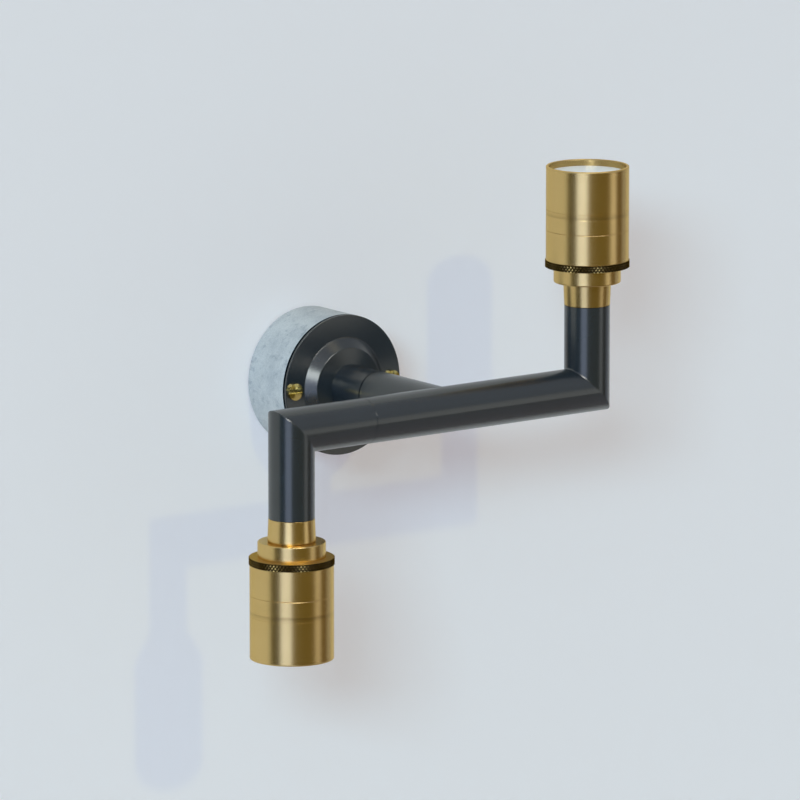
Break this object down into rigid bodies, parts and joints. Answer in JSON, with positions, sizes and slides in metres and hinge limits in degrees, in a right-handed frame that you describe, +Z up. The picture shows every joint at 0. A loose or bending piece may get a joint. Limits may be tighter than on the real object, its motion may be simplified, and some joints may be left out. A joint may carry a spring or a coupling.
{
  "type": "industrial wall light",
  "caption": "Wall light with a round concrete base, a black swivelling tube arm and brass cylinder heads, one up and one down.",
  "frame": {"origin": "middle of the round base, on the wall plane, between the two wall screw slots", "axes": "+X along the wall to the right, +Y into the wall, +Z up"},
  "size_m": [0.2168, 0.1304, 0.2184],
  "materials": {
    "concrete": "cast concrete, mottled, with small pits",
    "black_metal": "satin black-graphite",
    "satin_brass": "satin, brushed along the head",
    "knurled_brass": "dark patina in the knurl, brass faces",
    "screw_brass": "polished",
    "terminal_brass": "bright",
    "bearing_bronze": "machined bronze",
    "steel": "zinc plated",
    "aluminium": "machined",
    "board_white": "white coated circuit board on aluminium",
    "led_phosphor": "silicone over the light source",
    "white_plastic": "moulded",
    "opal": "opal, slightly translucent",
    "cable_sheath": "round sheathed cable"
  },
  "bodies": {
    "wall_base": {"concrete_base": "concrete", "wall_bracket": "steel", "terminal_block": "white_plastic", "terminal_inserts": "terminal_brass", "terminal_screw": "steel", "wall_plate": "black_metal", "plate_screws": "screw_brass", "neck_tube": "black_metal", "neck_nut": "steel", "earth_tag": "terminal_brass", "neck_bush": "bearing_bronze", "base_cable": "cable_sheath"},
    "swivel_frame": {"stem_tube": "black_metal", "cross_arm_tube": "black_metal", "riser_tube": "black_metal", "neck_spindle": "steel", "neck_friction_washer": "steel", "neck_retaining_nut": "steel", "neck_stop_pin": "steel", "arm_bush": "bearing_bronze", "stem_cable": "cable_sheath", "cable_splice": "white_plastic", "arm_cable": "cable_sheath", "upper_cable": "cable_sheath", "upper_collar": "satin_brass", "upper_cap": "satin_brass", "upper_cup": "satin_brass", "upper_sleeve": "satin_brass", "upper_heat_sink": "aluminium", "upper_led_board": "board_white", "upper_led_chip": "led_phosphor", "upper_board_screws": "steel", "upper_reflector": "white_plastic", "upper_diffuser": "opal"},
    "left_arm": {"left_arm_tube": "black_metal", "drop_tube": "black_metal", "arm_spindle": "steel", "arm_friction_washer": "steel", "arm_retaining_nut": "steel", "arm_stop_pin": "steel", "lower_cable": "cable_sheath", "lower_collar": "satin_brass", "lower_cap": "satin_brass", "lower_cup": "satin_brass", "lower_sleeve": "satin_brass", "lower_heat_sink": "aluminium", "lower_led_board": "board_white", "lower_led_chip": "led_phosphor", "lower_board_screws": "steel", "lower_reflector": "white_plastic", "lower_diffuser": "opal"},
    "upper_locking_ring": {"upper_ring": "knurled_brass"},
    "lower_locking_ring": {"lower_ring": "knurled_brass"}
  },
  "joints": [
    {"name": "stem_swivel", "type": "hinge", "parent": "wall_base", "child": "swivel_frame", "pos_m": [0, -0.0592, 0], "axis": [0, -1, 0], "range_deg": [-165, 165]},
    {"name": "arm_swivel", "type": "hinge", "parent": "swivel_frame", "child": "left_arm", "pos_m": [-0.0455, -0.11, 0], "axis": [-1, 0, 0], "range_deg": [-60, 240]},
    {"name": "upper_ring_turn", "type": "hinge", "parent": "swivel_frame", "child": "upper_locking_ring", "pos_m": [0.088, -0.11, 0.062], "axis": [0, 0, 1], "continuous": true},
    {"name": "lower_ring_turn", "type": "hinge", "parent": "left_arm", "child": "lower_locking_ring", "pos_m": [-0.088, -0.11, -0.062], "axis": [0, 0, -1], "continuous": true}
  ]
}
